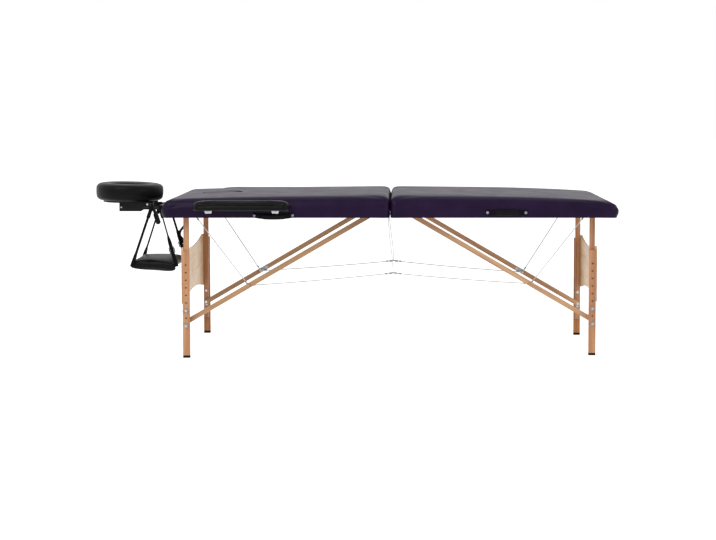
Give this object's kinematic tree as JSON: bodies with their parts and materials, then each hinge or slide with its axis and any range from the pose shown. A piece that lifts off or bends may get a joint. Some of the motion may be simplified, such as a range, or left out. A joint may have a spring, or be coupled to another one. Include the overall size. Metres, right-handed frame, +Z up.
{
  "type": "folding massage table",
  "caption": "Portable massage table that folds in the middle like a case, with braced wooden legs, a tilting face cradle, an arm shelf and side armrests.",
  "frame": {"origin": "centre of the bounding box at floor level, under the opened table", "axes": "+X along the table from the face cradle's end to the foot end, +Y to the side away from the carry handles, +Z up"},
  "size_m": [2.198, 0.9308, 0.708],
  "materials": {
    "aubergine_vinyl": "fine-grained satin vinyl",
    "black_vinyl": "fine-grained satin vinyl",
    "beech": "clear satin lacquer",
    "deck_plywood": "bare",
    "panel_plywood": "clear satin lacquer",
    "handle_webbing": "woven",
    "black_webbing": "woven",
    "foot_rubber": "matt",
    "steel_cable": "stranded, bright",
    "zinc_steel": "zinc plated",
    "armrest_steel": "zinc plated",
    "black_paint": "satin black",
    "black_plastic": "moulded"
  },
  "bodies": {
    "head_half": {"head_frame": "beech", "head_deck": "deck_plywood", "head_pad": "aubergine_vinyl", "head_skirt": "aubergine_vinyl", "head_hinge_leaves": "zinc_steel", "hinge_pins": "zinc_steel", "head_handle": "handle_webbing", "head_brackets": "zinc_steel", "head_end_cables": "steel_cable", "head_cross_cables": "steel_cable", "cable_hangers": "steel_cable"},
    "foot_half": {"foot_frame": "beech", "foot_deck": "deck_plywood", "foot_pad": "aubergine_vinyl", "foot_skirt": "aubergine_vinyl", "foot_hinge_leaves": "zinc_steel", "foot_handle": "handle_webbing", "foot_brackets": "zinc_steel", "foot_end_cables": "steel_cable", "foot_cross_cables": "steel_cable"},
    "head_legs": {"head_upper_legs": "beech", "head_end_panel": "panel_plywood", "head_leg_bolts": "zinc_steel"},
    "head_lower_struts_body": {"head_lower_struts": "beech"},
    "head_upper_struts_body": {"head_upper_struts": "beech", "head_knee_fittings": "zinc_steel"},
    "head_near_leg": {"head_near_lower_leg": "beech", "head_near_foot_cap": "foot_rubber"},
    "head_near_high_nut_body": {"head_near_high_nut": "zinc_steel"},
    "head_near_low_nut_body": {"head_near_low_nut": "zinc_steel"},
    "head_far_leg": {"head_far_lower_leg": "beech", "head_far_foot_cap": "foot_rubber"},
    "head_far_high_nut_body": {"head_far_high_nut": "zinc_steel"},
    "head_far_low_nut_body": {"head_far_low_nut": "zinc_steel"},
    "foot_legs": {"foot_upper_legs": "beech", "foot_end_panel": "panel_plywood", "foot_leg_bolts": "zinc_steel"},
    "foot_lower_struts_body": {"foot_lower_struts": "beech"},
    "foot_upper_struts_body": {"foot_upper_struts": "beech", "foot_knee_fittings": "zinc_steel"},
    "foot_near_leg": {"foot_near_lower_leg": "beech", "foot_near_foot_cap": "foot_rubber"},
    "foot_near_high_nut_body": {"foot_near_high_nut": "zinc_steel"},
    "foot_near_low_nut_body": {"foot_near_low_nut": "zinc_steel"},
    "foot_far_leg": {"foot_far_lower_leg": "beech", "foot_far_foot_cap": "foot_rubber"},
    "foot_far_high_nut_body": {"foot_far_high_nut": "zinc_steel"},
    "foot_far_low_nut_body": {"foot_far_low_nut": "zinc_steel"},
    "plug": {"face_hole_plug": "aubergine_vinyl"},
    "cradle": {"cradle_base": "black_paint", "sling_straps": "black_webbing", "sling_buckles": "black_plastic", "arm_shelf": "black_vinyl"},
    "cradle_head": {"cradle_board": "black_paint", "cradle_ring": "black_vinyl"},
    "cradle_lever_body": {"cradle_lever": "black_paint"},
    "near_armrest_body": {"near_armrest": "black_vinyl", "near_armrest_frame": "armrest_steel"},
    "far_armrest_body": {"far_armrest": "black_vinyl", "far_armrest_frame": "armrest_steel"}
  },
  "joints": [
    {"name": "centre_fold", "type": "hinge", "parent": "head_half", "child": "foot_half", "pos_m": [0.169, 0, 0.582], "axis": [0, 1, 0], "range_deg": [0, 180], "deforming": ["head_end_cables", "foot_end_cables", "head_cross_cables", "foot_cross_cables", "cable_hangers"]},
    {"name": "head_legs_fold", "type": "hinge", "parent": "head_half", "child": "head_legs", "pos_m": [-0.673, 0, 0.606], "axis": [0, -1, 0], "range_deg": [0, 90]},
    {"name": "head_lower_struts_fold", "type": "hinge", "parent": "head_legs", "child": "head_lower_struts_body", "pos_m": [-0.673, 0, 0.146], "axis": [0, -1, 0], "range_deg": [0, 58.73]},
    {"name": "head_upper_struts_fold", "type": "hinge", "parent": "head_half", "child": "head_upper_struts_body", "pos_m": [0.107, 0, 0.6], "axis": [0, 1, 0], "range_deg": [0, 31.28]},
    {"name": "head_near_height", "type": "slide", "parent": "head_legs", "child": "head_near_leg", "axis": [0, 0, -1], "range_m": [0, 0.1884]},
    {"name": "head_near_high_nut_turn", "type": "hinge", "parent": "head_legs", "child": "head_near_high_nut_body", "pos_m": [-0.673, -0.316, 0.1968], "axis": [0, 1, 0], "continuous": true},
    {"name": "head_near_low_nut_turn", "type": "hinge", "parent": "head_legs", "child": "head_near_low_nut_body", "pos_m": [-0.673, -0.316, 0.134], "axis": [0, 1, 0], "continuous": true},
    {"name": "head_far_height", "type": "slide", "parent": "head_legs", "child": "head_far_leg", "axis": [0, 0, -1], "range_m": [0, 0.1884]},
    {"name": "head_far_high_nut_turn", "type": "hinge", "parent": "head_legs", "child": "head_far_high_nut_body", "pos_m": [-0.673, 0.316, 0.1968], "axis": [0, 1, 0], "continuous": true},
    {"name": "head_far_low_nut_turn", "type": "hinge", "parent": "head_legs", "child": "head_far_low_nut_body", "pos_m": [-0.673, 0.316, 0.134], "axis": [0, 1, 0], "continuous": true},
    {"name": "foot_legs_fold", "type": "hinge", "parent": "foot_half", "child": "foot_legs", "pos_m": [1.011, 0, 0.606], "axis": [0, 1, 0], "range_deg": [0, 90]},
    {"name": "foot_lower_struts_fold", "type": "hinge", "parent": "foot_legs", "child": "foot_lower_struts_body", "pos_m": [1.011, 0, 0.146], "axis": [0, 1, 0], "range_deg": [0, 58.73]},
    {"name": "foot_upper_struts_fold", "type": "hinge", "parent": "foot_half", "child": "foot_upper_struts_body", "pos_m": [0.231, 0, 0.6], "axis": [0, -1, 0], "range_deg": [0, 31.28]},
    {"name": "foot_near_height", "type": "slide", "parent": "foot_legs", "child": "foot_near_leg", "axis": [0, 0, -1], "range_m": [0, 0.1884]},
    {"name": "foot_near_high_nut_turn", "type": "hinge", "parent": "foot_legs", "child": "foot_near_high_nut_body", "pos_m": [1.011, -0.26, 0.1968], "axis": [0, 1, 0], "continuous": true},
    {"name": "foot_near_low_nut_turn", "type": "hinge", "parent": "foot_legs", "child": "foot_near_low_nut_body", "pos_m": [1.011, -0.26, 0.134], "axis": [0, 1, 0], "continuous": true},
    {"name": "foot_far_height", "type": "slide", "parent": "foot_legs", "child": "foot_far_leg", "axis": [0, 0, -1], "range_m": [0, 0.1884]},
    {"name": "foot_far_high_nut_turn", "type": "hinge", "parent": "foot_legs", "child": "foot_far_high_nut_body", "pos_m": [1.011, 0.26, 0.1968], "axis": [0, 1, 0], "continuous": true},
    {"name": "foot_far_low_nut_turn", "type": "hinge", "parent": "foot_legs", "child": "foot_far_low_nut_body", "pos_m": [1.011, 0.26, 0.134], "axis": [0, 1, 0], "continuous": true},
    {"name": "plug_lift", "type": "slide", "parent": "head_half", "child": "plug", "axis": [0, 0, 1], "range_m": [0, 0.06]},
    {"name": "cradle_slide", "type": "slide", "parent": "head_half", "child": "cradle", "axis": [-1, 0, 0], "range_m": [0, 0.12]},
    {"name": "cradle_tilt", "type": "hinge", "parent": "cradle", "child": "cradle_head", "pos_m": [-0.867, 0, 0.619], "axis": [0, 1, 0], "range_deg": [-30, 20]},
    {"name": "cradle_lever_turn", "type": "hinge", "parent": "cradle", "child": "cradle_lever_body", "pos_m": [-0.867, 0, 0.619], "axis": [0, 1, 0], "range_deg": [0, 80]},
    {"name": "near_armrest_slide", "type": "slide", "parent": "head_half", "child": "near_armrest_body", "axis": [0, -1, 0], "range_m": [0, 0.1]},
    {"name": "far_armrest_slide", "type": "slide", "parent": "head_half", "child": "far_armrest_body", "axis": [0, 1, 0], "range_m": [0, 0.1]}
  ],
  "couplings": [
    {"joint": "head_legs_fold", "follows": "centre_fold", "ratio": 0.5},
    {"joint": "head_lower_struts_fold", "follows": "centre_fold", "ratio": 0.32625},
    {"joint": "head_upper_struts_fold", "follows": "centre_fold", "ratio": 0.17375},
    {"joint": "foot_legs_fold", "follows": "centre_fold", "ratio": 0.5},
    {"joint": "foot_lower_struts_fold", "follows": "centre_fold", "ratio": 0.32625},
    {"joint": "foot_upper_struts_fold", "follows": "centre_fold", "ratio": 0.17375}
  ]
}
